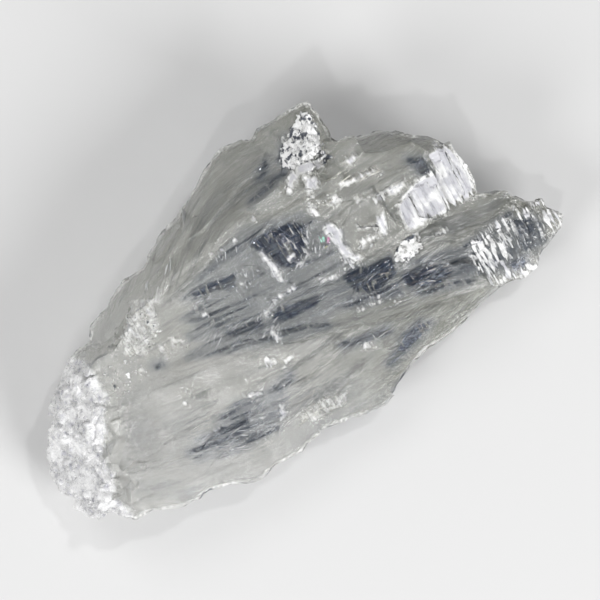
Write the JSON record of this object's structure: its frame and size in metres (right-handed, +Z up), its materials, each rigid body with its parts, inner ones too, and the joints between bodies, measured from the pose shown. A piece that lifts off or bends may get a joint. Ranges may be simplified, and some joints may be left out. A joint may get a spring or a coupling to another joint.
{
  "type": "petalite crystal",
  "caption": "Clear to milky petalite crystal, a cleaved natural fragment with stepped cleavage sheets, fluted silvery faces and a frosted broken end, lying on its flat base.",
  "frame": {"origin": "middle of the bounding box, on the flat base face that the crystal lies on", "axes": "+X along the crystal, from its frosted broken end towards its thin lobe; +Y across it, from the thin front slab towards the peak; +Z up, towards the stepped top"},
  "size_m": [0.06, 0.0316, 0.0187],
  "materials": {
    "petalite": "vitreous, clear inside with milky and frosted patches"
  },
  "bodies": {
    "root": {"petalite_crystal": "petalite"}
  },
  "joints": []
}
